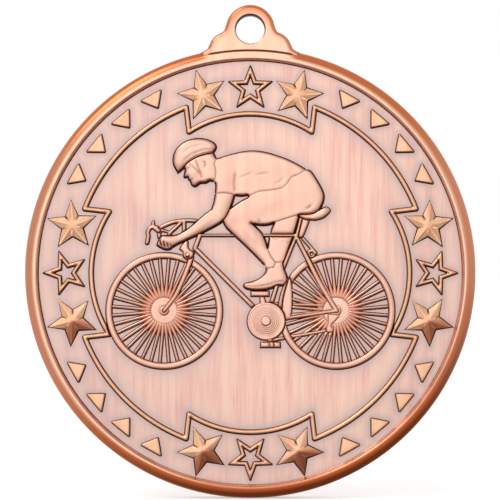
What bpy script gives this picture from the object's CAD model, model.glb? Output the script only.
import math

import bmesh
import bpy
import numpy as np
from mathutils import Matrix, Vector, geometry, kdtree


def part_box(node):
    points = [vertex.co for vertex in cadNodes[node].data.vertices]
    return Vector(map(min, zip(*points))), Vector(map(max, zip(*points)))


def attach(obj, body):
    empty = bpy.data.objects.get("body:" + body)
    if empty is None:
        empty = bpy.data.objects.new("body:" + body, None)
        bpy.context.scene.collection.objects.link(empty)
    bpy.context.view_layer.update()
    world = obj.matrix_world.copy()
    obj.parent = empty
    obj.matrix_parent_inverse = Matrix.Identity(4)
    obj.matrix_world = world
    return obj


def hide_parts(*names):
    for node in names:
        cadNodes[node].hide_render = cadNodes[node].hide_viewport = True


# an antique copper finisher medal: each piece of relief is a swelled skin over its CAD outline,
# and the field, rim and tab are turned or extruded to the CAD's own sizes

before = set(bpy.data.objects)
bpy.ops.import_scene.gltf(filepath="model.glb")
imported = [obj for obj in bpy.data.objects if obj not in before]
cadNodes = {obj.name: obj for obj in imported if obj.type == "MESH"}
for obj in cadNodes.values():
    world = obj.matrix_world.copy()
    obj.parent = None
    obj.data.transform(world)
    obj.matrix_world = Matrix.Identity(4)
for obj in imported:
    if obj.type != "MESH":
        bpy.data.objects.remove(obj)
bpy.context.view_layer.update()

mm = 0.001
fieldLow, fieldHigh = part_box("field_disc")
rimLow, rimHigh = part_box("outer_rim")
tabLow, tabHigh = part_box("hanger_tab")
frontY = fieldLow.y / mm  # the obverse field, which the relief stands on
fieldR = fieldHigh.x / mm
rimR = rimHigh.x / mm
artScale = fieldR / 23.55  # the artwork is drawn for this field radius
rimScale = rimR / 25  # and the rim's radii for this outer one


class Value:
    # a number socket that takes Python operators
    def __init__(self, shade, socket):
        self.shade, self.socket = shade, socket

    def mathNode(self, operation, first, second):
        return self.shade.math(operation, first, second)

    def __add__(self, other):
        return self.mathNode("ADD", self, other)

    def __radd__(self, other):
        return self.mathNode("ADD", other, self)

    def __sub__(self, other):
        return self.mathNode("SUBTRACT", self, other)

    def __rsub__(self, other):
        return self.mathNode("SUBTRACT", other, self)

    def __mul__(self, other):
        return self.mathNode("MULTIPLY", self, other)

    def __rmul__(self, other):
        return self.mathNode("MULTIPLY", other, self)


class Shade:
    # one material's node tree
    def __init__(self, name):
        self.material = bpy.data.materials.new(name)
        self.material.use_nodes = True
        self.tree = self.material.node_tree
        self.tree.nodes.clear()
        self.output = self.node("ShaderNodeOutputMaterial")
        self.coords = self.node("ShaderNodeTexCoord").outputs["Object"]

    def node(self, kind, settings=None, sockets=None):
        made = self.tree.nodes.new(kind)
        for key, value in (settings or {}).items():
            if key == "stops":
                ramp = made.color_ramp
                while len(ramp.elements) < len(value):
                    ramp.elements.new(0.5)
                for element, (place, tone) in zip(ramp.elements, value):
                    element.position = place
                    element.color = tone
            else:
                setattr(made, key, value)
        for key, value in (sockets or {}).items():
            socket = made.inputs[key]
            if isinstance(value, Value):
                value = value.socket
            if isinstance(value, bpy.types.NodeSocket):
                self.tree.links.new(value, socket)
            else:
                socket.default_value = value
        return made

    def math(self, operation, first, second=0.0):
        made = self.node("ShaderNodeMath", {"operation": operation}, {0: first, 1: second})
        return Value(self, made.outputs[0])

    def attribute(self, name):
        made = self.node("ShaderNodeAttribute", {"attribute_name": name})
        return Value(self, made.outputs["Fac"])

    def noise(self, stretch, detail=2.0, roughness=0.5):
        # stretch is the number of features in a metre along each axis
        place = self.node("ShaderNodeMapping", None, {"Vector": self.coords, "Scale": stretch})
        made = self.node("ShaderNodeTexNoise", {"noise_dimensions": "3D"},
                         {"Vector": place.outputs[0], "Scale": 1.0, "Detail": detail,
                          "Roughness": roughness})
        return Value(self, made.outputs["Fac"])

    def ramp(self, value, low, high):
        made = self.node("ShaderNodeMapRange", {"interpolation_type": "SMOOTHSTEP"},
                         {"Value": value, "From Min": low, "From Max": high})
        return Value(self, made.outputs["Result"])

    def mix(self, share, first, second):
        made = self.node("ShaderNodeMix", {"data_type": "RGBA"},
                         {0: share, 6: first, 7: second})
        return made.outputs[2]

    def bump(self, height):
        sockets = {"Height": height, "Distance": 1.0, "Strength": 1.0}
        return self.node("ShaderNodeBump", None, sockets).outputs["Normal"]


def tone(red, green, blue):
    # screen colour as a linear one
    def line(c):
        c /= 255
        return c / 12.92 if c <= 0.04045 else ((c + 0.055) / 1.055) ** 2.4
    return (line(red), line(green), line(blue), 1.0)


finishes = {
    "brushedField": {
        "light": tone(255, 214, 194), "deep": tone(234, 174, 164), "warm": tone(202, 179, 176),
        "brush": 0.55, "brushDepth": 0.0000022, "grain": 0.0000012, "rough": 0.36},
    "motifCopper": {
        "light": tone(253, 207, 184), "deep": tone(244, 190, 170), "warm": tone(236, 172, 134),
        "brush": 0.25, "brushDepth": 0.0000008, "grain": 0.0000016, "rough": 0.33},
    "borderCopper": {
        "light": tone(254, 206, 168), "deep": tone(244, 186, 150), "warm": tone(230, 158, 118),
        "brush": 0.2, "brushDepth": 0.0000006, "grain": 0.0000014, "rough": 0.31},
    "rimCopper": {
        "light": tone(254, 205, 175), "deep": tone(248, 194, 166), "warm": tone(230, 126, 76),
        "brush": 0.15, "brushDepth": 0.0000005, "grain": 0.0000012, "rough": 0.27,
        "thin": tone(176, 80, 40)},
}
patinaTones = {"thin": tone(176, 104, 74), "brown": tone(104, 52, 36), "black": tone(44, 20, 14)}
patinaSteps = {"thin": (0.04, 0.34), "brown": (0.26, 0.66), "black": (0.62, 1.0)}
grainScales = {"fine": (7000, 2600, 210), "broad": (1300, 700, 90), "cloud": (260, 260, 170),
               "speck": (9000, 9000, 9000)}  # features in a metre, long along Z where brushed


def makeCopper(name, look):
    # antique copper plating: brushed along Z, browned wherever the piece's patina attribute says
    s = Shade(name)
    tones = {**patinaTones, **look}
    patina = s.attribute("patina")
    warm = s.attribute("warm")
    fine = s.noise(grainScales["fine"], 3.0, 0.6)
    broad = s.noise(grainScales["broad"])
    cloud = s.noise(grainScales["cloud"])
    speck = s.noise(grainScales["speck"])
    streak = s.ramp(fine * look["brush"] + broad * (0.8 - look["brush"] * 0.5) + cloud * 0.35,
                    0.42, 0.86)
    body = s.mix(streak, look["deep"], look["light"])
    stained = s.mix(warm, body, look["warm"])
    uneven = patina + (speck - 0.5) * 0.12 * s.ramp(patina, 0.05, 0.4)
    for step, (low, high) in patinaSteps.items():
        stained = s.mix(s.ramp(uneven, low, high), stained, tones[step])
    dull = s.ramp(uneven, 0.1, 0.9)
    shader = s.node("ShaderNodeBsdfPrincipled", None, {
        "Base Color": stained, "Metallic": 1.0 - dull * 0.45,
        "Roughness": look["rough"] + (fine - 0.5) * 0.1 + dull * 0.22 + (cloud - 0.5) * 0.06,
        "Normal": s.bump(fine * look["brushDepth"] + speck * look["grain"])})
    s.tree.links.new(shader.outputs[0], s.output.inputs["Surface"])
    return s.material


copper = {name: makeCopper(name, look) for name, look in finishes.items()}
print("finishes made")


chunk = 1500  # points measured at once, to save memory
shortSide = 0.012  # mm: a shorter side is the tessellation's and is dropped
sharpBend = 32  # degrees: beyond it a bend is a corner
touching = 0.04  # mm: outlines nearer than this are one seam
longestCorner = 2.4  # times its sides' move, the most that a sharp corner moves
solverRounds = 600  # at most, for the swelled skin
solved = 1e-12


def mergedCopy(node):
    # the CAD piece's mesh with its corners joined
    bm = bmesh.new()
    bm.from_mesh(cadNodes[node].data)
    bmesh.ops.remove_doubles(bm, verts=bm.verts, dist=0.002 * mm)
    return bm


def capLoops(node):
    # outlines of the piece's flat top, as (X, Z) in mm, each with the metal on its left
    bm = mergedCopy(node)
    bm.normal_update()
    top = min(v.co.y for v in bm.verts)
    cap = {f for f in bm.faces if f.normal.y < -0.9 and f.calc_center_median().y < top + 1e-5}
    follows = {}
    for f in cap:
        for loop in f.loops:
            if sum(g in cap for g in loop.edge.link_faces) == 1:
                follows.setdefault(loop.vert.index, []).append(loop.link_loop_next.vert.index)
    spots = [(v.co.x / mm, v.co.z / mm) for v in bm.verts]
    bm.free()
    loops = []
    while follows:
        start = at = next(iter(follows))
        loop = []
        while at in follows:
            loop.append(spots[at])
            onward = follows[at].pop()
            if not follows[at]:
                del follows[at]
            at = onward
            if at == start:
                break
        if len(loop) > 2:
            loops.append(np.array(loop))
    return loops


def smoothLoop(loop, step):
    # the loop with a point every step, its soft bends rounded and its corners kept
    gaps = np.linalg.norm(loop - np.roll(loop, 1, 0), axis=1)
    loop = loop[gaps > shortSide]
    count = len(loop)
    ahead = np.roll(loop, -1, 0) - loop
    heading = np.arctan2(ahead[:, 1], ahead[:, 0])
    turned = np.degrees(np.abs((heading - np.roll(heading, 1) + np.pi) % (2 * np.pi) - np.pi))
    points = []
    for i in range(count):
        j = (i + 1) % count
        a, b = loop[i], loop[j]
        length = np.linalg.norm(b - a)
        leave = b - a if turned[i] > sharpBend else b - loop[i - 1]
        arrive = b - a if turned[j] > sharpBend else loop[(j + 1) % count] - a
        leave = leave / max(np.linalg.norm(leave), 1e-9) * length
        arrive = arrive / max(np.linalg.norm(arrive), 1e-9) * length
        pieces = max(1, round(length / step))
        for t in (k / pieces for k in range(pieces)):  # a Hermite curve from a to b
            points.append(a * (2 * t**3 - 3 * t**2 + 1) + leave * (t**3 - 2 * t**2 + t)
                          + b * (3 * t**2 - 2 * t**3) + arrive * (t**3 - t**2))
    return np.array(points)


def outwardOf(loop):
    # the way out of the metal at each point
    ahead = np.roll(loop, -1, 0) - loop
    ahead /= np.maximum(np.linalg.norm(ahead, axis=1, keepdims=True), 1e-9)
    way = ahead + np.roll(ahead, 1, 0)
    way /= np.maximum(np.linalg.norm(way, axis=1, keepdims=True), 1e-9)
    return np.stack([way[:, 1], -way[:, 0]], 1)


def cornerReach(loop):
    # how much further a corner moves than its sides do, so that they stay parallel
    ahead = np.roll(loop, -1, 0) - loop
    ahead /= np.maximum(np.linalg.norm(ahead, axis=1, keepdims=True), 1e-9)
    cosine = np.clip((ahead * np.roll(ahead, 1, 0)).sum(1), -1, 1)
    return np.minimum(1 / np.sqrt(np.maximum((1 + cosine) / 2, 0.05)), longestCorner)


def sidesOf(loops):
    # where each side starts and ends
    return np.vstack(loops), np.vstack([np.roll(loop, -1, 0) for loop in loops])


def inside(points, loops):
    # whether a line from the point to the right crosses the outlines an odd number of times
    starts, ends = sidesOf(loops)
    result = np.zeros(len(points), bool)
    for first in range(0, len(points), chunk):
        p = points[first:first + chunk]
        z = p[:, 1:2]
        crosses = (starts[None, :, 1] > z) != (ends[None, :, 1] > z)
        rise = np.where(ends[:, 1] == starts[:, 1], 1e-12, ends[:, 1] - starts[:, 1])
        at = starts[None, :, 0] + (z - starts[None, :, 1]) / rise * (ends[:, 0] - starts[:, 0])
        result[first:first + chunk] = (crosses & (p[:, 0:1] < at)).sum(1) % 2 == 1
    return result


def distance(points, starts, ends):
    # from each point to the nearest side
    result = np.full(len(points), 1e9)
    along = ends - starts
    square = np.maximum((along**2).sum(1), 1e-12)
    for first in range(0, len(points), chunk):
        p = points[first:first + chunk, None, :] - starts[None]
        t = np.clip((p * along).sum(2) / square, 0, 1)
        gap = p - t[:, :, None] * along
        result[first:first + chunk] = np.sqrt((gap**2).sum(2).min(1))
    return result


def inflate(points, triangles, fixed):
    # height of a skin that is held at the fixed points and blown up: round over a strip
    count = len(points)
    rows, columns, weights = [], [], []
    share = np.zeros(count)
    a, b, c = (points[triangles[:, k]] for k in range(3))
    area = np.abs((b[:, 0] - a[:, 0]) * (c[:, 1] - a[:, 1])
                  - (b[:, 1] - a[:, 1]) * (c[:, 0] - a[:, 0])) / 2 + 1e-9
    for k in range(3):
        i, j, o = (triangles[:, (k + n) % 3] for n in range(3))
        one, two = points[i] - points[o], points[j] - points[o]
        cotangent = np.clip((one * two).sum(1) / (2 * area), -2, 40) / 2
        rows += [i, j]
        columns += [j, i]
        weights += [cotangent, cotangent]
        share += np.bincount(triangles[:, k], area / 3, count)
    rows, columns, weights = map(np.concatenate, (rows, columns, weights))
    diagonal = np.bincount(rows, weights, count) + 1e-9
    free = ~fixed

    def stiffness(x):
        return np.where(free, diagonal * x - np.bincount(rows, weights * x[columns], count), 0)

    x = np.zeros(count)
    rest = np.where(free, share, 0)
    z = rest / diagonal
    way, old = z.copy(), rest @ z
    for _ in range(solverRounds):  # conjugate gradients
        pushed = stiffness(way)
        size = old / max(way @ pushed, 1e-30)
        x += size * way
        rest -= size * pushed
        z = np.where(free, rest / diagonal, 0)
        new = rest @ z
        if new < solved:
            break
        way, old = z + new / old * way, new
    return np.sqrt(np.maximum(2 * x, 0))


lightWay = np.array([-0.45, 0.89])  # patina was wiped off the sides that face this way


def shadeOf(outward):
    # 0 on the sides that were wiped, 1 on the dark ones
    return 0.5 - 0.5 * outward @ lightWay


def ease(value, low, high):
    t = min(max((value - low) / (high - low), 0), 1)
    return t * t * (3 - 2 * t)


def bumpsAndCreases(points, look):
    # swellings, folds and their stain over a piece's top
    height, stain = np.zeros(len(points)), np.zeros(len(points))
    for x, z, angle, along, across, tall in look.get("bumps", ()):
        way = np.array([math.cos(math.radians(angle)), math.sin(math.radians(angle))])
        p = points - np.array([x, z]) * artScale
        u, v = p @ way / along, p @ np.array([-way[1], way[0]]) / across
        height += tall * np.exp(-u**2 - v**2)
    for path, deep, wide, dark in look.get("creases", ()):
        line = np.array(path) * artScale
        gap = distance(points, line[:-1], line[1:])
        ends = np.minimum(np.linalg.norm(points - line[0], axis=1),
                          np.linalg.norm(points - line[-1], axis=1))
        fade = np.clip(ends / (wide * 2.5), 0.25, 1)
        height -= deep * fade * np.exp(-(gap / wide)**2)
        stain = np.maximum(stain, dark * fade * np.exp(-(gap / (wide * 0.75))**2))
    for centre, radius, deep, wide, dark in look.get("grooves", ()):
        away = points - np.array(centre) * artScale
        reach = np.maximum(np.linalg.norm(away, axis=1), 1e-6)
        gap = np.abs(reach - radius)
        height -= deep * np.exp(-(gap / wide)**2)
        shade = shadeOf(away / reach[:, None])**1.5
        stain = np.maximum(stain, dark * shade * np.exp(-(gap / (wide * 0.8))**2))
    return height, stain


def finishPiece(name, bm, node, material):
    # the mesh as an object that stands for the CAD node
    mesh = bpy.data.meshes.new(name)
    bm.to_mesh(mesh)
    bm.free()
    mesh.materials.append(material)
    for polygon in mesh.polygons:
        polygon.use_smooth = True
    obj = bpy.data.objects.new(name, mesh)
    bpy.context.scene.collection.objects.link(obj)
    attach(obj, "root")
    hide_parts(node)
    return mesh


outlines = {}  # of every relief piece, for the stain that it leaves on the field


def tuckedIn(loops, tuck, shared):
    # the top's outline lies inside the wall's middle, except where a neighbour's top goes on
    if tuck == 0:
        return loops
    starts, ends = sidesOf(loops)
    result = []
    for loop in loops:
        joined = shared(loop)
        move = np.where(joined, 0, tuck)
        p = loop - outwardOf(loop) * (move * np.where(joined, 1, cornerReach(loop)))[:, None]
        clear = inside(p, loops) & (distance(p, starts, ends) > 0.9 * tuck)
        kept = p[joined | clear]
        if len(kept) > 3:
            result.append(kept)
    return result


# what every relief piece shares: widths in mm, stains from 0 to 1, and the defaults of the looks
reliefLook = {"tuck": 0.045, "warm": 0.35, "even": 0.8, "seam": 0.05, "seamStain": 0.28,
              "seamWide": 0.11, "seamStainWide": 0.08, "warmWide": 0.3, "bumpFrom": 0.25,
              "litLip": 0.2, "darkLip": 0.38, "hubStain": 0.04, "hubFade": 1.3,
              "litDraft": 0.9, "darkDraft": 1.0}


def innerPoints(loops, look):
    # rows that follow the outline, then an even grid over the rest
    starts, ends = sidesOf(loops)
    rim = np.vstack(loops)
    outward = np.vstack([outwardOf(loop) for loop in loops])
    inner = []
    for reach in look["rings"]:
        p = rim - outward * reach
        inner.append(p[(distance(p, starts, ends) > 0.93 * reach) & inside(p, loops)])
    if "grid" in look:
        gap = look["grid"]
        low, high = rim.min(0), rim.max(0)
        across, up = np.meshgrid(np.arange(low[0], high[0], gap),
                                 np.arange(low[1], high[1], gap * 0.866))
        across[1::2] += gap / 2
        p = np.stack([across.ravel(), up.ravel()], 1)
        p = p[inside(p, loops)]
        inner.append(p[distance(p, starts, ends) > look["rings"][-1] + gap * 0.6])
    return inner


def triangulate(loops, inner):
    # a flat skin between the outlines, and the rim point that each of its points is, or -1
    rim = np.vstack(loops)
    points = np.vstack([rim] + inner)
    sides, first = [], 0
    for loop in loops:
        count = len(loop)
        sides += [(first + i, first + (i + 1) % count) for i in range(count)]
        first += count
    spots, _, triangles, origin, _, _ = geometry.delaunay_2d_cdt(
        [Vector(p) for p in points], sides, [], 0, 1e-5)
    points = np.array([(p.x, p.y) for p in spots])
    source = np.array([min(o) if o else -1 for o in origin])
    source[source >= len(rim)] = -1
    triangles = np.array([t for t in triangles if len(t) == 3])
    triangles = triangles[inside(points[triangles].mean(1), loops)]
    used = np.unique(triangles)
    place = np.full(len(points), -1)
    place[used] = np.arange(len(used))
    return points[used], source[used], place[triangles]


def shapeTop(points, source, triangles, loops, shared, look):
    # each point's height over the field and its stain, and how the wall leaves it
    corner = np.concatenate([cornerReach(loop) for loop in loops])
    outward = np.vstack([outwardOf(loop) for loop in loops])
    onRim = source >= 0
    # edges shared with a neighbour of the same body stay high, with a shallow groove
    soft = onRim & shared(points)
    fixed = onRim & ~soft
    swell = inflate(points, triangles, fixed)
    height, stain = bumpsAndCreases(points, look)
    height = (look["wall"] + look["rise"] * np.tanh(swell / look["round"])
              + height * np.minimum(1, swell / look["bumpFrom"]))
    height[fixed] = look["wall"]
    shade = np.zeros(len(points))
    way = np.zeros((len(points), 2))
    shade[onRim] = shadeOf(outward[source[onRim]])
    way[fixed] = outward[source[fixed]] * corner[source[fixed], None]
    if soft.any():
        gap = distance(points, points[soft] - 1e-4, points[soft] + 1e-4)
        height -= look["seam"] * np.exp(-(gap / look["seamWide"])**2)
        stain = np.maximum(stain, look["seamStain"] * np.exp(-(gap / look["seamStainWide"])**2))
    lip = look["litLip"] + look["darkLip"] * shade[fixed]
    stain[fixed] = look.get("edge", 1.0) * look.get("lip", 1.0) * lip
    weak = np.ones(len(points))
    if "fade" in look:  # the stain thins out towards a wheel's hub
        centre, least, most = look["fade"]
        away = np.linalg.norm(points - np.array(centre) * artScale, axis=1)
        weak = np.clip((away - least) / (most - least), look["hubStain"], 1)**look["hubFade"]
        stain *= weak
    return {"height": height, "patina": stain, "shade": shade, "weak": weak, "way": way,
            "warm": look["warm"] * np.exp(-(swell / look["warmWide"])**2)}


def addWall(bm, look):
    # the wall down to its foot, a fillet on the field, and the underside in the plate
    stainLayer, shadeLayer = bm.verts.layers.float["patina"], bm.verts.layers.float["shade"]
    wayLayer, weakLayer = bm.verts.layers.float_vector["way"], bm.verts.layers.float["weak"]
    even = look["even"]  # stain of the lit sides' feet
    # height over the field, share of the draft, and stain on the lit sides and added on dark ones
    steps = ((0.05, 0.6, even, 1 - even), (-0.004, 1.0, 0.8 * even, 1 - 0.8 * even),
             (-0.06, 0.0, 0.5, 0.5))
    edges = [e for e in bm.edges if e.is_boundary]
    base = 0.0
    for level, share, least, most in steps:
        grown = bmesh.ops.extrude_edge_only(bm, edges=edges)["geom"]
        edges = [g for g in grown if isinstance(g, bmesh.types.BMEdge) and g.is_boundary]
        for v in (g for g in grown if isinstance(g, bmesh.types.BMVert)):
            shade = v[shadeLayer]
            width = look["draft"] * (look["litDraft"] + look["darkDraft"] * shade)
            v.co += v[wayLayer] * (width * (share - base) * mm)
            v.co.y = (frontY - level) * mm
            v[stainLayer] = look.get("edge", 1.0) * (least + most * shade) * v[weakLayer]
        base = share
    bmesh.ops.triangle_fill(bm, edges=edges, use_beauty=True, normal=Vector((0, 1, 0)))
    bmesh.ops.recalc_face_normals(bm, faces=bm.faces)
    bm.verts.layers.float_vector.remove(bm.verts.layers.float_vector["way"])
    bm.verts.layers.float.remove(bm.verts.layers.float["shade"])
    bm.verts.layers.float.remove(bm.verts.layers.float["weak"])


def flatMesh(points, heights, triangles):
    # a bmesh of the points, as X and Z in mm, with each one's Y
    mesh = bpy.data.meshes.new("skin")
    corners = np.stack([points[:, 0], heights, points[:, 1]], 1) * mm
    mesh.from_pydata(corners.tolist(), [], triangles.tolist())
    bm = bmesh.new()
    bm.from_mesh(mesh)
    bpy.data.meshes.remove(mesh)
    return bm


def reliefPiece(node, look, material):
    # a swelled top inside the CAD piece's outline, on a wall that spreads to a dark foot
    look = {**reliefLook, **look}
    loops = [smoothLoop(loop, look["step"]) for loop in look.get("loops") or capLoops(node)]
    loops = [loop for loop in loops if len(loop) > 3]
    outlines[node] = loops
    neighbours = [sidesOf(capLoops(other)) for other in look.get("soft", ())]

    def shared(p):
        near = np.zeros(len(p), bool)
        for a, b in neighbours:
            near |= distance(p, a, b) < touching
        return near

    loops = tuckedIn(loops, look["tuck"], shared)
    points, source, triangles = triangulate(loops, innerPoints(loops, look))
    top = shapeTop(points, source, triangles, loops, shared, look)
    bm = flatMesh(points, frontY - top["height"], triangles)
    for name in ("patina", "warm", "shade", "weak"):
        layer = bm.verts.layers.float.new(name)
        for v, value in zip(bm.verts, top[name]):
            v[layer] = value
    layer = bm.verts.layers.float_vector.new("way")
    for v, (x, z) in zip(bm.verts, top["way"]):
        v[layer] = Vector((x, 0, z))
    addWall(bm, look)
    parts = node.split("_")
    name = parts[0] + "".join(part.capitalize() for part in parts[1:]) + "Relief"
    finishPiece(name, bm, node, material)


# border: the rib, the outlined stars and the triangles
borderLooks = {
    "rib": {"step": 0.16, "rings": (0.06, 0.14, 0.21), "wall": 0.15, "rise": 0.17,
            "round": 0.12, "draft": 0.09, "warm": 0.25},
    "openStar": {"step": 0.12, "rings": (0.06, 0.13, 0.18), "wall": 0.2, "rise": 0.16,
                 "round": 0.12, "draft": 0.09, "warm": 0.25},
    "triangle": {"step": 0.12, "rings": (0.05, 0.11, 0.2), "grid": 0.25, "wall": 0.28,
                 "rise": 0.1, "round": 0.14, "draft": 0.08, "warm": 0.4},
}
reliefPiece("border_rib", borderLooks["rib"], copper["borderCopper"])
for i in range(1, 5):
    reliefPiece(f"outline_star_{i}", borderLooks["openStar"], copper["borderCopper"])
for i in range(1, 17):
    reliefPiece(f"triangle_{i}", borderLooks["triangle"], copper["borderCopper"])
print("border made")

starLook = {"wall": 0.14, "apex": 0.38, "ridge": 0.16, "inset": 0.09, "draft": 0.1,
            "slopeRun": 0.95, "warm": 0.2, "litLip": 0.24, "darkLip": 0.36, "oldPatina": 0.5,
            "oldFrom": -14, "oldTo": 14, "litFoot": 0.6, "darkFoot": 0.4, "smallFace": 0.25}
starFoot = ((0.04, 0.7), (-0.004, 1.0), (-0.05, 0.0))  # height over the field, share of the draft


def facetedStar(node):
    # ten facets with softened ridges, on a low wall with a stained foot
    solid = mergedCopy(node)
    peak = min(solid.verts, key=lambda v: v.co.y).co.copy()
    low = max(v.co.y for v in solid.verts)

    def fromPeak(co):
        return Vector((co.x - peak.x, 0, co.z - peak.z))

    def shadeAt(co):
        way = fromPeak(co)
        return shadeOf(np.array([way.x, way.z]) / max(way.length, 1e-9))

    foot = sorted((v.co.copy() for v in solid.verts
                   if low - v.co.y < 1e-6 and fromPeak(v.co).length > 0.3 * mm),
                  key=lambda co: math.atan2(co.z - peak.z, co.x - peak.x))
    solid.free()
    outlines[node] = [np.array([(co.x / mm, co.z / mm) for co in foot])]
    bm = bmesh.new()
    wallY = (frontY - starLook["wall"]) * mm
    face = bm.faces.new([bm.verts.new((co.x, wallY, co.z)) for co in foot])
    stainLayer = bm.verts.layers.float.new("patina")
    warmLayer = bm.verts.layers.float.new("warm")
    bmesh.ops.inset_region(bm, faces=[face], thickness=starLook["inset"] * mm,
                           use_boundary=True, use_even_offset=True)
    slope = starLook["inset"] / starLook["slopeRun"]
    for v in face.verts:
        v.co.y -= (starLook["apex"] - starLook["wall"]) * slope * mm
    top = bmesh.ops.poke(bm, faces=[face])["verts"][0]
    top.co = (peak.x, (frontY - starLook["apex"]) * mm, peak.z)
    bmesh.ops.bevel(bm, geom=list(top.link_edges), offset=starLook["ridge"] * mm, segments=3,
                    profile=0.5, affect="EDGES", material=-1, clamp_overlap=True)
    # the lower stars kept the most patina
    aged = starLook["oldPatina"] * ease(-peak.z / mm, starLook["oldFrom"], starLook["oldTo"])
    for v in bm.verts:
        shade = shadeAt(v.co)
        lip = starLook["litLip"] + starLook["darkLip"] * shade
        v[stainLayer] = lip if v.is_boundary else aged * shade**2
        v[warmLayer] = starLook["warm"]
    edges = [e for e in bm.edges if e.is_boundary]
    for level, share in starFoot:
        grown = bmesh.ops.extrude_edge_only(bm, edges=edges)["geom"]
        edges = [g for g in grown if isinstance(g, bmesh.types.BMEdge) and g.is_boundary]
        for v in (g for g in grown if isinstance(g, bmesh.types.BMVert)):
            shade, way = shadeAt(v.co), fromPeak(v.co).normalized()
            v.co += way * (starLook["draft"] * (0.7 + 0.8 * shade) * share * mm)
            v.co.y = (frontY - level) * mm
            v[stainLayer] = starLook["litFoot"] + starLook["darkFoot"] * shade
    bmesh.ops.triangle_fill(bm, edges=edges, use_beauty=True, normal=Vector((0, 1, 0)))
    bmesh.ops.recalc_face_normals(bm, faces=bm.faces)
    mesh = finishPiece("solidStarRelief" + node[-1], bm, node,
                       copper["borderCopper"])
    for polygon in mesh.polygons:  # the facets are flat, and only their ridges are round
        polygon.use_smooth = polygon.area < starLook["smallFace"] * mm * mm


for i in range(1, 9):
    facetedStar(f"solid_star_{i}")
print("stars made")

# bicycle
frontHub = (-9.55, -4.2)
rearHub = (9.55, -4.2)
bracket = (1.75, -5.35)
tube = {"step": 0.12, "rings": (0.06, 0.14, 0.22), "grid": 0.14, "wall": 0.16, "rise": 0.22,
        "round": 0.16, "draft": 0.075}
tyre = {"step": 0.16, "rings": (0.06, 0.16, 0.27, 0.35), "wall": 0.16, "rise": 0.2,
        "round": 0.2, "draft": 0.08, "warm": 0.45}
spoke = {"step": 0.25, "rings": (0.05, 0.09), "wall": 0.11, "rise": 0.1, "round": 0.07,
         "draft": 0.1, "even": 1.0, "tuck": 0.0, "lip": 0.15, "warm": 0.1}
hub = {"step": 0.05, "rings": (0.05, 0.1, 0.16, 0.22, 0.28, 0.35, 0.42, 0.5), "grid": 0.07,
       "wall": 0.12, "rise": 0.03, "round": 0.5, "draft": 0.04, "edge": 0.0, "warm": 0.0,
       "tuck": 0.0}


def wheelHub(centre):
    # the spokes run together into it, round a small boss
    return {**hub, "bumps": ((*centre, 0, 0.4, 0.4, 0.05),),
            "grooves": ((centre, 0.5, 0.06, 0.07, 0.85),)}


def ringOutline():
    # the whole chainring, which hides the crank behind it
    low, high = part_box("chainring")
    radius = (high.x - low.x) / 2 / mm
    middle = ((high.x + low.x) / 2 / mm, (high.z + low.z) / 2 / mm)
    turns = np.linspace(0, 2 * math.pi, 96, endpoint=False)
    return [np.stack([middle[0] + radius * np.cos(turns), middle[1] + radius * np.sin(turns)], 1)]


bikeLooks = {
    "front_tyre": tyre, "rear_tyre": tyre,
    "front_spokes": {**spoke, "fade": (frontHub, 1.35, 3.3)},
    "rear_spokes": {**spoke, "fade": (rearHub, 1.35, 3.3)},
    "front_hub": wheelHub(frontHub), "rear_hub": wheelHub(rearHub),
    "bike_frame": tube, "front_fork": {**tube, "rise": 0.27}, "handlebar": tube,
    "brake_lever": tube, "rear_brake": tube, "seat_post": tube,
    "front_brake": {**tube, "grooves": (((-6.96, 1.95), 0.22, 0.09, 0.07, 2.4),)},
    "upper_pedal": {**tube, "rise": 0.16},
    "lower_pedal": {**tube, "rise": 0.2, "creases": (
        (((2.12, -7.5), (2.12, -8.5)), 0.14, 0.08, 0.8),
        (((2.62, -7.5), (2.62, -8.5)), 0.14, 0.08, 0.8))},
    "chain": {**tube, "wall": 0.12, "rise": 0.14, "edge": 0.7},
    "derailleur": {**tube, "wall": 0.12, "rise": 0.14, "edge": 0.55, "draft": 0.06},
    "crank": {**tube, "wall": 0.1, "rise": 0.12, "edge": 0.75},
    "saddle": {**tube, "grid": 0.16, "wall": 0.18, "rise": 0.34, "round": 0.4},
    "chainring": {**hub, "grid": 0.062, "wall": 0.2, "edge": 0.8, "rise": 0.1, "round": 0.25,
                  "draft": 0.08, "tuck": 0.07, "loops": ringOutline(), "grooves": (
                      (bracket, 0.52, 0.07, 0.06, 1.0), (bracket, 0.8, 0.04, 0.05, 0.42),
                      (bracket, 1.0, 0.04, 0.05, 0.42), (bracket, 1.2, 0.04, 0.05, 0.42),
                      (bracket, 1.4, 0.04, 0.05, 0.42), (bracket, 1.6, 0.04, 0.05, 0.36),
                      (bracket, 1.78, 0.03, 0.05, 0.25))},
}
for node, look in bikeLooks.items():
    reliefPiece(node, look, copper["motifCopper"])
print("bicycle made")

# rider: swellings are X, Z, angle, length, width and height, creases a path, depth, width, stain
limb = {"step": 0.1, "rings": (0.05, 0.12, 0.21), "grid": 0.14, "wall": 0.26, "rise": 0.2,
        "round": 0.42, "draft": 0.14, "warm": 0.3, "seam": 0.03, "seamStain": 0.16,
        "even": 1.0}
headTilt = math.radians(28)


def onHead(x, z):
    # a place on the level head, measured from under its chin
    return (-4.65 + x * math.cos(headTilt) - z * math.sin(headTilt),
            10.4 + x * math.sin(headTilt) + z * math.cos(headTilt))


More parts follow.
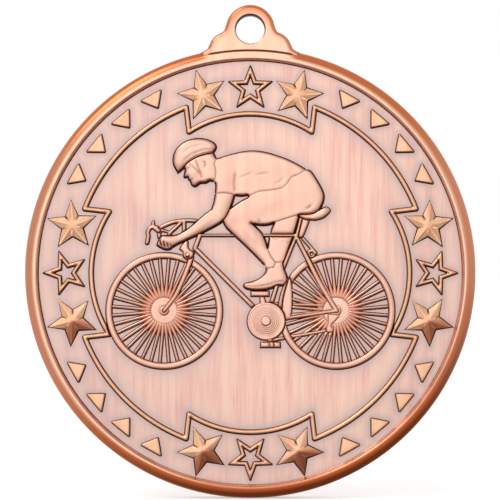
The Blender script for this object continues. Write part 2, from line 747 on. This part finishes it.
riderLooks = {
    "near_arm": {**limb, "soft": ("jersey",), "bumps": (
        (-3.1, 7.7, 70, 1.1, 0.6, 0.05), (-5.4, 5.35, 36, 1.6, 0.5, 0.07),
        (-9.2, 3.6, 20, 0.8, 0.5, 0.05)),
        "creases": ((((-10.05, 3.75), (-9.95, 3.3), (-9.75, 2.9)), 0.18, 0.09, 1.1),
                    (((-9.65, 3.6), (-9.55, 3.2), (-9.4, 2.75)), 0.18, 0.09, 1.1),
                    (((-9.25, 3.4), (-9.15, 3.05), (-9.05, 2.75)), 0.18, 0.09, 1.0),
                    (((-8.9, 3.25), (-8.8, 3.0), (-8.75, 2.8)), 0.12, 0.08, 0.8))},
    "near_leg": {**limb, "rise": 0.27, "round": 0.55, "soft": ("jersey", "far_leg", "shoe"),
                 "bumps": ((1.4, 7.5, 22, 2.6, 0.9, 0.05), (-2.0, 6.2, 60, 0.7, 0.6, 0.03),
                           (0.1, 4.2, -45, 1.3, 0.45, 0.05), (6.4, 9.2, 110, 1.5, 1.1, 0.04)),
                 "creases": ((((6.1, 7.0), (6.5, 7.25), (6.9, 7.6)), 0.05, 0.12, 0.3),
                             (((0.9, 6.0), (1.0, 5.75), (1.15, 5.5)), 0.06, 0.1, 0.35))},
    "jersey": {**limb, "rise": 0.24, "round": 0.55, "soft": ("near_arm", "near_leg", "head"),
               "seamStain": 0.12,
               "bumps": ((-2.9, 10.4, 80, 1.2, 0.7, 0.04), (1.5, 11.6, 5, 3, 0.9, 0.03)),
               "creases": ((((-1.65, 8.8), (-1.7, 10), (-1.6, 11.2)), 0.06, 0.14, 0.2),
                           (((-1.2, 10.5), (-0.4, 10.8), (0.3, 11.1)), 0.03, 0.12, 0.12),
                           (((0.6, 10.8), (1.4, 10.95), (2.1, 11.0)), 0.03, 0.12, 0.12),
                           (((2.6, 9.8), (3.3, 10.1), (3.8, 10.6)), 0.03, 0.11, 0.12),
                           (((4.2, 9.9), (4.8, 10.3), (5.1, 10.9)), 0.03, 0.11, 0.12))},
    "far_leg": {**limb, "rise": 0.16, "soft": ("near_leg", "shoe"), "creases": (
        (((2.3, 3.9), (3.4, 3.6), (4.4, 3.3)), 0.04, 0.09, 0.2),)},
    "shoe": {**limb, "rise": 0.22, "soft": ("near_leg", "far_leg"), "creases": (
        (((-0.5, -1.45), (0.6, -1.55), (1.8, -1.4), (2.9, -1.05), (3.8, -0.9)), 0.05, 0.09, 0.25),)},
    "helmet": {**limb, "wall": 0.24, "rise": 0.3, "round": 0.6, "creases": (
        (((-7.6, 13.2), (-6.6, 13.9), (-5.3, 14.2), (-4.4, 14.1)), 0.04, 0.13, 0.1),
        (((-7.5, 12.3), (-6.5, 13.1), (-5.2, 13.6), (-4.3, 13.7)), 0.04, 0.13, 0.1))},
    "head": {**limb, "grid": 0.1, "wall": 0.2, "rise": 0.3, "soft": ("jersey",), "bumps": (
        (*onHead(-1.0, 1.45), 28, 0.5, 0.5, 0.05),),
        "creases": (
            ((onHead(-1.6, 2.1), onHead(-1.35, 2.13), onHead(-1.15, 2.05)), 0.06, 0.07, 0.45),
            ((onHead(-1.85, 0.85), onHead(-1.6, 0.84), onHead(-1.4, 0.8)), 0.05, 0.06, 0.4),
            ((onHead(-0.2, 2.7), onHead(-0.35, 1.6), onHead(-0.55, 0.3)), 0.05, 0.08, 0.3),
            ((onHead(-1.2, 2.6), onHead(-0.7, 1.7), onHead(-0.45, 0.9)), 0.05, 0.08, 0.25),
            ((onHead(0.35, 2.1), onHead(0.55, 1.8), onHead(0.4, 1.4), onHead(0.2, 1.3)),
             0.05, 0.08, 0.3))},
}
for node, look in riderLooks.items():
    reliefPiece(node, look, copper["motifCopper"])
print("rider made")


fieldLook = {"rings": 118, "backRings": 4, "steps": 500, "play": 0.02, "halo": 0.5,
             "haloStain": 0.55, "wide": 1.5, "wideStain": 0.32, "left": 0.3, "leftRun": 28}


def turned(spots, closed, steps, merge):
    # a profile of radii and Ys in mm, spun round the medal's middle
    bm = bmesh.new()
    verts = [bm.verts.new((r * mm, y * mm, 0)) for r, y in spots]
    ends = verts[1:] + verts[:1] if closed else verts[1:]
    edges = [bm.edges.new(pair) for pair in zip(verts, ends)]
    bmesh.ops.spin(bm, geom=verts + edges, cent=(0, 0, 0), axis=(0, 1, 0),
                   angle=2 * math.pi, steps=steps, use_merge=True)
    bmesh.ops.remove_doubles(bm, verts=bm.verts, dist=merge * mm)
    bmesh.ops.recalc_face_normals(bm, faces=bm.faces)
    return bm


def nearestTree(points):
    tree = kdtree.KDTree(len(points))
    for i, (x, z) in enumerate(points):
        tree.insert((x, 0, z), i)
    tree.balance()
    return tree


def makeField():
    # a disc with both faces, and a grey bloom of old patina round the relief
    samples = np.vstack([smoothLoop(loop, 0.12) for loops in outlines.values() for loop in loops])
    tree = nearestTree(samples)
    count, backCount = fieldLook["rings"], fieldLook["backRings"]
    outer = fieldR - fieldLook["play"]
    spots = [(outer * k / count, frontY) for k in range(count + 1)]
    spots += [(outer * k / backCount, fieldHigh.y / mm) for k in range(backCount, -1, -1)]
    bm = turned(spots, False, fieldLook["steps"], 0.004)
    bm.verts.layers.float.new("patina")
    warmLayer = bm.verts.layers.float.new("warm")
    for v in bm.verts:
        if v.co.y > frontY * mm / 2:
            continue
        gap = tree.find((v.co.x / mm, 0, v.co.z / mm))[2]
        edge = outer - math.hypot(v.co.x, v.co.z) / mm
        gap = min(gap, max(edge, 0) + 0.2)
        bloom = fieldLook["haloStain"] * math.exp(-(gap / fieldLook["halo"])**2)
        bloom += fieldLook["wideStain"] * math.exp(-(gap / fieldLook["wide"])**2)
        left = min(max((5 - v.co.x / mm) / fieldLook["leftRun"], 0), 1) * fieldLook["left"]
        v[warmLayer] = bloom + left * (1 - bloom)
    mesh = finishPiece("brushedFieldDisc", bm, "field_disc",
                       copper["brushedField"])
    mesh.set_sharp_from_angle(angle=math.radians(40))


makeField()
print("field made")

rimLook = {"steps": 400, "outer": 25, "wallTop": 23.7, "crown": 23.85, "roll": 1.1,
           "backRound": 0.3, "wallStain": 0.8, "sideStain": 0.13, "tabEnd": 5.2, "tabFlat": 4.4,
           "reverse": -1, "crownEnd": 24.06, "crownLost": 0.44, "crownBlend": 0.26}


def rimProfile(top, back):
    # a steep inner wall, a flat crown, a round outer edge and a small step on the reverse
    outer, crown, small = rimLook["outer"], rimLook["crown"], rimLook["backRound"]
    spots = [(23.4, frontY + 0.1), (23.45, frontY - 0.005), (23.5, frontY - 0.04),
             (23.545, frontY - 0.15), (23.59, frontY - 0.4), (23.63, frontY - 0.62),
             (23.68, top + 0.06), (23.75, top + 0.015), (crown, top)]
    for k in range(1, 13):
        a = math.radians(90 * k / 12)
        spots.append((crown + (outer - crown) * math.sin(a),
                      top + rimLook["roll"] - rimLook["roll"] * math.cos(a)))
    spots += [(outer, top + 1.6), (outer, back - small)]
    for k in range(1, 6):
        a = math.radians(90 * k / 5)
        spots.append((outer - small + small * math.cos(a), back - small + small * math.sin(a)))
    spots += [(24.2, back), (23.85, back), (23.7, back - 0.04), (23.62, back - 0.14),
              (23.56, 0.06), (23.46, 0.005), (23.4, -0.1)]
    return [(r * rimScale, y) for r, y in spots]


def makeRim():
    # turned in one piece, its crown polished and its roll warmer and darker to the lower right
    top, seam = rimLow.y / mm, tabLow.y / mm
    bm = turned(rimProfile(top, rimHigh.y / mm), True, rimLook["steps"], 0.002)
    stainLayer = bm.verts.layers.float.new("patina")
    warmLayer = bm.verts.layers.float.new("warm")
    for v in bm.verts:
        r = math.hypot(v.co.x, v.co.z) / mm / rimScale
        y = v.co.y / mm
        out = np.array([v.co.x, v.co.z]) / mm / rimScale / r
        inwardShade, outwardShade = shadeOf(-out), shadeOf(out)
        tab = 0.0  # under the tab the crown runs flat to a dark seam
        if v.co.z > 0:
            tab = 1 - ease(abs(v.co.x) / mm, rimLook["tabFlat"], rimLook["tabEnd"])
        if y < frontY + 0.2 and r < rimLook["wallTop"]:
            rise = 1 - ease(r, 23.5, 23.61)
            v[stainLayer] = rimLook["wallStain"] * ease(inwardShade, 0.12, 0.62) * rise
            v[warmLayer] = 0.25
        elif r > rimLook["wallTop"] and y < rimLook["reverse"]:
            dark = ease(outwardShade, 0.55, 0.95)
            # the bright crown ends sooner on the dark side
            start = rimLook["crownEnd"] - rimLook["crownLost"] * dark
            edge = ease(r, start, start + rimLook["crownBlend"]) * (1 - tab)
            v[warmLayer] = edge * (1 - 0.35 * ease(abs(out[0]), 0.65, 1))
            v[stainLayer] = (edge * (0.05 + rimLook["sideStain"] * dark)
                             + 0.12 * ease(r, 24.8, 25) * dark)
            if tab > 0 and r < 24.6:
                v.co.y += (top + 0.004 - y) * tab * mm
                v[stainLayer] += 0.35 * tab * ease(r, 24.5, 24.56)
            elif tab > 0 and r < 24.7:
                v.co.y += (seam + 0.05 - y) * tab * mm
                v[stainLayer] = v[stainLayer] * (1 - tab) + tab
        elif y > rimLook["reverse"]:
            v[warmLayer] = 0.45
            v[stainLayer] = 0.55 if r < 23.65 else 0.08
        else:
            v[warmLayer], v[stainLayer] = 0.8, 0.2
    finishPiece("raisedRim", bm, "outer_rim", copper["rimCopper"])


makeRim()

# radii: the hidden edge lies within the rim, and meets is where the outline comes out of it
tabLook = {"edge": 0.42, "holeEdge": 0.16, "segments": 5, "hidden": 24.2, "grid": 0.22,
           "edgeStain": 0.42, "holeStain": 0.9, "meets": 24.66, "seamStain": 0.95,
           "seamRows": (24.62, 24.67, 24.72, 24.8, 24.9)}


def tabFill(faceLoops):
    # an even grid over the face, with arcs close together at the seam
    starts, ends = sidesOf(faceLoops)
    rim = np.vstack(faceLoops)
    low, high = rim.min(0), rim.max(0)
    gap = tabLook["grid"]
    across, up = np.meshgrid(np.arange(low[0], high[0], gap), np.arange(low[1], high[1], gap))
    fill = [np.stack([across.ravel(), up.ravel()], 1)]
    turn = np.linspace(-0.2, 0.2, 90)
    for r in tabLook["seamRows"]:
        fill.append(np.stack([r * np.sin(turn), r * np.cos(turn)], 1) * rimScale)
    fill = np.vstack(fill)
    fill = fill[inside(fill, faceLoops)]
    return fill[distance(fill, starts, ends) > 0.05]


def roundEdges(bm, rim, ways, rounding):
    # extrudes the face's outline down a quarter circle, then on to the middle plane
    tree = nearestTree(rim)
    wayLayer = bm.verts.layers.float_vector.new("way")
    roundLayer = bm.verts.layers.float.new("round")
    edges = [e for e in bm.edges if e.is_boundary]
    for v in {v for e in edges for v in e.verts}:
        i = tree.find((v.co.x / mm, 0, v.co.z / mm))[1]
        v[wayLayer] = Vector((ways[i, 0], 0, ways[i, 1]))
        v[roundLayer] = rounding[i]
    lastOut, lastDeep = 0.0, 0.0
    count = tabLook["segments"]
    for k in range(1, count + 2):
        a = math.radians(90 * min(k, count) / count)
        out, deep = math.sin(a), 1 - math.cos(a)
        grown = bmesh.ops.extrude_edge_only(bm, edges=edges)["geom"]
        edges = [g for g in grown if isinstance(g, bmesh.types.BMEdge) and g.is_boundary]
        for v in (g for g in grown if isinstance(g, bmesh.types.BMVert)):
            if k > count:
                v.co.y = 0
            else:
                v.co += v[wayLayer] * (v[roundLayer] * (out - lastOut) * mm)
                v.co.y += v[roundLayer] * (deep - lastDeep) * mm
        lastOut, lastDeep = out, deep
    bm.verts.layers.float_vector.remove(bm.verts.layers.float_vector["way"])
    bm.verts.layers.float.remove(bm.verts.layers.float["round"])


def stainTab(bm, outline, hole, front, back):
    # warm edges, a dark upper wall in the hole, and a dark seam where the rim starts
    stainLayer = bm.verts.layers.float.new("patina")
    warmLayer = bm.verts.layers.float.new("warm")
    holeMiddle = (hole.max(0) + hole.min(0)) / 2
    holeR = np.ptp(hole[:, 0]) / 2
    places = np.array([(v.co.x / mm, v.co.z / mm) for v in bm.verts])
    fromEdge = distance(places, outline - 1e-4, outline + 1e-4)
    for v, (x, z), gap in zip(bm.verts, places, fromEdge):
        depth = min(v.co.y / mm - front, back - v.co.y / mm)
        radius = math.hypot(x, z) / rimScale
        high = ease(z, holeMiddle[1] - 1, holeMiddle[1] + 2.2)
        v[warmLayer] = math.exp(-(gap / (0.42 + 0.4 * high))**2) * (0.85 + 0.15 * high)
        byHole = math.hypot(x - holeMiddle[0], z - holeMiddle[1])
        v[stainLayer] = 0.0
        if byHole < holeR + 0.1 and depth > 0.01:
            v[stainLayer] = tabLook["holeStain"] * ease(z - holeMiddle[1], -1.2, 1.0)
        elif gap < 0.12 and depth > 0.2:
            v[stainLayer] = tabLook["edgeStain"] * ease(depth, 0.1, 0.45)
        if abs(x) < 5 and radius < 24.9 and v.co.y / mm < front + 0.1:
            v[stainLayer] = max(v[stainLayer], tabLook["seamStain"]
                                * (1 - ease(radius, 24.68, 24.76)) * (1 - ease(abs(x), 4.3, 4.9)))


def makeTab():
    # a flat plate with rounded edges, made as its front half and mirrored to the back
    loops = [smoothLoop(loop, 0.1) for loop in capLoops("hanger_tab")]
    loops.sort(key=lambda loop: -np.ptp(loop[:, 0]))
    outer, hole = loops[0], loops[-1]
    reach = np.linalg.norm(outer, axis=1) / rimScale
    under = reach < tabLook["meets"]
    rounding = [tabLook["edge"] * np.clip((reach - 24.6) / 0.5, 0.03, 1),
                np.full(len(hole), tabLook["holeEdge"])]
    ways = [outwardOf(outer), outwardOf(hole)]
    faceLoops = [loop - way * turn[:, None]
                 for loop, way, turn in zip((outer, hole), ways, rounding)]
    faceLoops[0][under] *= (tabLook["hidden"] / reach[under])[:, None]
    points, _, triangles = triangulate(faceLoops, [tabFill(faceLoops)])
    front, back = tabLow.y / mm, tabHigh.y / mm
    middle = (front + back) / 2
    bm = flatMesh(points, np.full(len(points), front - middle), triangles)
    roundEdges(bm, np.vstack(faceLoops), np.vstack(ways), np.concatenate(rounding))
    bmesh.ops.mirror(bm, geom=bm.verts[:] + bm.edges[:] + bm.faces[:], axis="Y",
                     merge_dist=0.001 * mm)
    bmesh.ops.remove_doubles(bm, verts=bm.verts, dist=0.001 * mm)
    bmesh.ops.recalc_face_normals(bm, faces=bm.faces)
    bmesh.ops.translate(bm, verts=bm.verts, vec=(0, middle * mm, 0))
    stainTab(bm, outer[~under], hole, front, back)
    finishPiece("hangerTabBody", bm, "hanger_tab", copper["rimCopper"])


makeTab()
print("rim and tab made")

stageLook = {
    "floor": 1.6, "paper": (0.86, 0.86, 0.86, 1), "glow": 0.45, "gap": 0.00002,
    "frontAt": (-0.15, -1.0, 0.2), "frontSize": 0.7, "front": 0.73,
    "keyAt": (-0.4, -0.35, 0.6), "keySize": 0.4, "key": 2.8,
    "sky": (0.68, 0.68, 0.68, 1.0), "ground": (0.2, 0.15, 0.12, 1.0),
    "skyWay": (-0.3, 0.0, 0.95), "skyFrom": -0.85, "skyTo": -0.35}


def areaLight(name, at, size, radiance):
    # a square lamp that faces the medal
    data = bpy.data.lights.new(name, "AREA")
    data.shape = "SQUARE"
    data.size = size
    data.energy = radiance * math.pi * size * size
    lamp = bpy.data.objects.new(name, data)
    lamp.location = at
    lamp.rotation_euler = (-Vector(at)).to_track_quat("-Z", "Y").to_euler()
    bpy.context.scene.collection.objects.link(lamp)


def makeFloor():
    bm = bmesh.new()
    bmesh.ops.create_circle(bm, cap_ends=True, segments=96, radius=stageLook["floor"])
    bmesh.ops.translate(bm, verts=bm.verts, vec=(0, 0, rimLow.z - stageLook["gap"]))
    mesh = bpy.data.meshes.new("floor")
    bm.to_mesh(mesh)
    bm.free()
    floor = bpy.data.objects.new("paleFloor", mesh)
    bpy.context.scene.collection.objects.link(floor)
    s = Shade("palePaper")
    shader = s.node("ShaderNodeBsdfPrincipled", None, {
        "Base Color": stageLook["paper"], "Roughness": 0.9, "Specular IOR Level": 0.0,
        "Emission Color": (1, 1, 1, 1), "Emission Strength": stageLook["glow"]})
    s.tree.links.new(shader.outputs[0], s.output.inputs["Surface"])
    mesh.materials.append(s.material)
    floor.visible_glossy = False


def makeSky():
    # what the metal reflects is darker below and to the right; the camera sees plain white
    world = bpy.data.worlds.new("studio")
    bpy.context.scene.world = world
    world.use_nodes = True
    tree = world.node_tree
    tree.nodes.clear()
    coords = tree.nodes.new("ShaderNodeTexCoord")
    split = tree.nodes.new("ShaderNodeVectorMath")
    split.operation = "DOT_PRODUCT"
    split.inputs[1].default_value = stageLook["skyWay"]
    tree.links.new(coords.outputs["Generated"], split.inputs[0])
    ramp = tree.nodes.new("ShaderNodeMapRange")
    ramp.inputs["From Min"].default_value = stageLook["skyFrom"]
    ramp.inputs["From Max"].default_value = stageLook["skyTo"]
    tree.links.new(split.outputs["Value"], ramp.inputs["Value"])
    blend = tree.nodes.new("ShaderNodeMix")
    blend.data_type = "RGBA"
    blend.inputs[6].default_value = stageLook["ground"]
    blend.inputs[7].default_value = stageLook["sky"]
    tree.links.new(ramp.outputs["Result"], blend.inputs[0])
    around = tree.nodes.new("ShaderNodeBackground")
    tree.links.new(blend.outputs[2], around.inputs["Color"])
    seen = tree.nodes.new("ShaderNodeBackground")
    seen.inputs["Color"].default_value = (1, 1, 1, 1)
    path = tree.nodes.new("ShaderNodeLightPath")
    choose = tree.nodes.new("ShaderNodeMixShader")
    tree.links.new(path.outputs["Is Camera Ray"], choose.inputs[0])
    tree.links.new(around.outputs[0], choose.inputs[1])
    tree.links.new(seen.outputs[0], choose.inputs[2])
    out = tree.nodes.new("ShaderNodeOutputWorld")
    tree.links.new(choose.outputs[0], out.inputs["Surface"])


makeFloor()
areaLight("frontBox", stageLook["frontAt"], stageLook["frontSize"], stageLook["front"])
areaLight("keyBox", stageLook["keyAt"], stageLook["keySize"], stageLook["key"])
makeSky()

# away in metres, the rest in mm; width is how much of the medal's plane the picture spans
cameraLook = {"away": 0.28, "x": -0.03, "z": 2.53, "width": 55.3, "sensor": 36}
cameraData = bpy.data.cameras.new("camera")
cameraData.sensor_width = cameraLook["sensor"]
cameraData.lens = cameraLook["sensor"] * cameraLook["away"] / (cameraLook["width"] * mm)
cameraData.clip_start = 0.01
camera = bpy.data.objects.new("camera", cameraData)
camera.location = (cameraLook["x"] * mm, rimLow.y - cameraLook["away"], cameraLook["z"] * mm)
camera.rotation_euler = (math.pi / 2, 0, 0)
bpy.context.scene.collection.objects.link(camera)
bpy.context.scene.camera = camera
bpy.context.scene.view_settings.view_transform = "Standard"
print("stage made")
